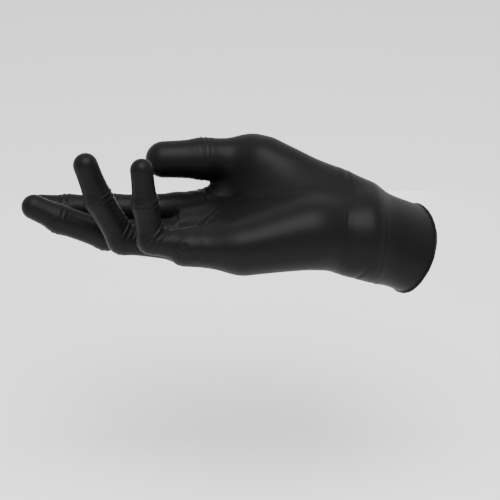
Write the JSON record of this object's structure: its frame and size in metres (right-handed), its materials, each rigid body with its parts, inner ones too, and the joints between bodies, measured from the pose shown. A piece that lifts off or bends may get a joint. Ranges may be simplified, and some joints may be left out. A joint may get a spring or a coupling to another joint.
{
  "type": "disposable glove",
  "caption": "Thin black disposable glove for the right hand, palm up in its worn shape, with an open cuff and a rolled edge.",
  "frame": {"origin": "centre of the open mouth of the cuff, in the plane of the rolled edge", "axes": "+Z out of the palm, -X along the fingers, +Y towards the thumb side"},
  "size_m": [0.2387, 0.0926, 0.0913],
  "materials": {
    "film": "satin"
  },
  "bodies": {
    "cuff": {"cuff_sleeve": "film", "cuff_bead": "film", "wrist_film": "film"},
    "hand": {"palm_shell": "film", "finger_web": "film", "index_knuckle": "film", "middle_knuckle": "film", "ring_knuckle": "film", "little_knuckle": "film", "thumb_knuckle": "film"},
    "index_base": {"index_base": "film", "index_middle_joint": "film"},
    "index_middle": {"index_middle": "film", "index_end_joint": "film"},
    "index_tip": {"index_tip": "film"},
    "middle_base": {"middle_base": "film", "middle_middle_joint": "film"},
    "middle_middle": {"middle_middle": "film", "middle_end_joint": "film"},
    "middle_tip": {"middle_tip": "film"},
    "ring_base": {"ring_base": "film", "ring_middle_joint": "film"},
    "ring_middle": {"ring_middle": "film", "ring_end_joint": "film"},
    "ring_tip": {"ring_tip": "film"},
    "little_base": {"little_base": "film", "little_middle_joint": "film"},
    "little_middle": {"little_middle": "film", "little_end_joint": "film"},
    "little_tip": {"little_tip": "film"},
    "thumb_base": {"thumb_base": "film", "thumb_joint": "film"},
    "thumb_tip": {"thumb_tip": "film"}
  },
  "joints": [
    {"name": "wrist_bend", "type": "hinge", "parent": "cuff", "child": "hand", "pos_m": [-0.03582, -0.01029, 0.01936], "axis": [0, 1, 0], "range_deg": [-20, 45], "deforming": ["wrist_film"]},
    {"name": "index_knuckle_bend", "type": "hinge", "parent": "hand", "child": "index_base", "pos_m": [-0.13582, 0.01871, 0.01636], "axis": [0, 1, 0], "range_deg": [0, 38], "deforming": ["index_knuckle"]},
    {"name": "index_middle_bend", "type": "hinge", "parent": "index_base", "child": "index_middle", "pos_m": [-0.17282, 0.01871, 0.01636], "axis": [0, 1, 0], "range_deg": [-1, 79], "deforming": ["index_middle_joint"]},
    {"name": "index_end_bend", "type": "hinge", "parent": "index_middle", "child": "index_tip", "pos_m": [-0.19882, 0.01871, 0.01681], "axis": [0, 1, 0], "range_deg": [-2, 43], "deforming": ["index_end_joint"]},
    {"name": "middle_knuckle_bend", "type": "hinge", "parent": "hand", "child": "middle_base", "pos_m": [-0.13682, -0.00029, 0.00806], "axis": [0, 0.9994, -0.0349], "range_deg": [-1, 50], "deforming": ["middle_knuckle"]},
    {"name": "middle_middle_bend", "type": "hinge", "parent": "middle_base", "child": "middle_middle", "pos_m": [-0.17582, -0.00026, 0.00874], "axis": [0, 0.9994, -0.0349], "range_deg": [-19, 61], "deforming": ["middle_middle_joint"]},
    {"name": "middle_end_bend", "type": "hinge", "parent": "middle_middle", "child": "middle_tip", "pos_m": [-0.20213, 0.00007, 0.01831], "axis": [0, 0.9994, -0.0349], "range_deg": [-4, 41], "deforming": ["middle_end_joint"]},
    {"name": "ring_knuckle_bend", "type": "hinge", "parent": "hand", "child": "ring_base", "pos_m": [-0.13382, -0.01929, 0.01136], "axis": [0, 0.9976, -0.0698], "range_deg": [-6, 50], "deforming": ["ring_knuckle"]},
    {"name": "ring_middle_bend", "type": "hinge", "parent": "ring_base", "child": "ring_middle", "pos_m": [-0.16465, -0.01906, 0.01459], "axis": [0, 0.9976, -0.0698], "range_deg": [-55, 25], "deforming": ["ring_middle_joint"]},
    {"name": "ring_end_bend", "type": "hinge", "parent": "ring_middle", "child": "ring_tip", "pos_m": [-0.17774, -0.01742, 0.03815], "axis": [0, 0.9976, -0.0698], "range_deg": [-9, 36], "deforming": ["ring_end_joint"]},
    {"name": "little_knuckle_bend", "type": "hinge", "parent": "hand", "child": "little_base", "pos_m": [-0.12832, -0.03779, 0.01836], "axis": [0, 0.9945, -0.1045], "range_deg": [-12, 50], "deforming": ["little_knuckle"]},
    {"name": "little_middle_bend", "type": "hinge", "parent": "little_base", "child": "little_middle", "pos_m": [-0.1474, -0.03737, 0.02239], "axis": [0, 0.9945, -0.1045], "range_deg": [-69, 11], "deforming": ["little_middle_joint"]},
    {"name": "little_end_bend", "type": "hinge", "parent": "little_middle", "child": "little_tip", "pos_m": [-0.15068, -0.0352, 0.04302], "axis": [0, 0.9945, -0.1045], "range_deg": [-4, 41], "deforming": ["little_end_joint"]},
    {"name": "thumb_knuckle_bend", "type": "hinge", "parent": "hand", "child": "thumb_base", "pos_m": [-0.09382, 0.03021, 0.04286], "axis": [-0.1672, 0.4913, -0.8548], "range_deg": [-15, 20], "deforming": ["thumb_knuckle"]},
    {"name": "thumb_end_bend", "type": "hinge", "parent": "thumb_base", "child": "thumb_tip", "pos_m": [-0.11982, 0.02571, 0.04536], "axis": [-0.1672, 0.4913, -0.8548], "range_deg": [-10, 45], "deforming": ["thumb_joint"]}
  ]
}
